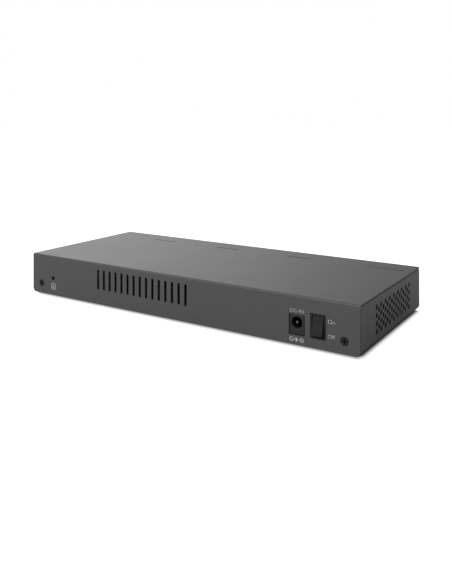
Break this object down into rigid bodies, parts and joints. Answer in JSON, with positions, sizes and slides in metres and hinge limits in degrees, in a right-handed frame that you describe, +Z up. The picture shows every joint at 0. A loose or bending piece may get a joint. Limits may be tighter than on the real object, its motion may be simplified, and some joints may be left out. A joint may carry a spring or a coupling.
{
  "type": "desktop network switch",
  "caption": "Low folded-steel desktop network switch with front network sockets, slotted rear panel, rocker power switch, low-voltage inlet and perforated sides.",
  "frame": {"origin": "under the middle of the case, on the surface that the four feet stand on", "axes": "+X to the right seen from the front, along the length; +Y to the rear panel; +Z up"},
  "size_m": [0.24, 0.1049, 0.028],
  "materials": {
    "painted_steel": "satin powder coat",
    "black_screws": "black zinc",
    "zinc_steel": "bright zinc",
    "rubber": "matt",
    "black_plastic": "fine moulded grain",
    "switch_plastic": "satin",
    "white_film": "satin film",
    "circuit_board": "solder mask",
    "nickel": "bright nickel",
    "gold_wire": "gold plate",
    "shield_steel": "tin plate",
    "green_lamp": "diffusing",
    "amber_lamp": "diffusing",
    "clear_guide": "clear",
    "led_white": "gloss",
    "chip_black": "moulded",
    "pad_grey": "soft",
    "sink_aluminium": "black anodised",
    "capacitor_can": "sleeved",
    "ferrite": "sintered",
    "crystal_can": "bright",
    "ceramic": "fired",
    "fuse_body": "matt"
  },
  "bodies": {
    "chassis": {"base_chassis": "painted_steel", "top_cover": "painted_steel", "cover_screws": "black_screws", "earth_nut": "zinc_steel", "rubber_feet": "rubber", "insulating_sheet": "white_film", "board_posts": "zinc_steel", "main_board": "circuit_board", "board_screws": "zinc_steel", "inlet_housing": "black_plastic", "inlet_pin": "nickel", "inlet_leaf": "nickel", "inlet_terminal": "nickel", "switch_housing": "switch_plastic", "switch_terminals": "nickel", "mode_switch_can": "shield_steel", "mode_switch_base": "black_plastic", "mode_switch_pins": "nickel", "status_light_guide": "clear_guide", "status_leds": "led_white", "port_housing_left": "black_plastic", "port_housing_right": "black_plastic", "port_shield_left": "shield_steel", "port_shield_right": "shield_steel", "port_wires_left": "gold_wire", "port_wires_right": "gold_wire", "green_port_lamps": "green_lamp", "amber_port_lamps": "amber_lamp", "switch_chip": "chip_black", "thermal_pad": "pad_grey", "heat_sink": "sink_aluminium", "lan_transformers": "chip_black", "bulk_capacitors": "capacitor_can", "power_inductors": "ferrite", "crystal": "crystal_can", "ceramic_capacitors": "ceramic", "poe_chips": "chip_black", "power_transistors": "chip_black", "input_fuse": "fuse_body", "memory_chip": "chip_black"},
    "rocker": {"power_rocker": "switch_plastic", "rocker_plunger": "nickel"},
    "see_saw": {"switch_contact": "nickel"},
    "slider": {"mode_slider": "black_plastic"}
  },
  "joints": [
    {"name": "rocker_tilt", "type": "hinge", "parent": "chassis", "child": "rocker", "pos_m": [-0.09676, 0.04936, 0.01325], "axis": [-1, 0, 0], "range_deg": [0, 24]},
    {"name": "contact_tilt", "type": "hinge", "parent": "chassis", "child": "see_saw", "pos_m": [-0.09676, 0.04306, 0.01325], "axis": [1, 0, 0], "range_deg": [0, 16]},
    {"name": "slider_travel", "type": "slide", "parent": "chassis", "child": "slider", "axis": [1, 0, 0], "range_m": [0, 0.002]}
  ],
  "couplings": [
    {"joint": "contact_tilt", "follows": "rocker_tilt", "ratio": 0.6666}
  ]
}
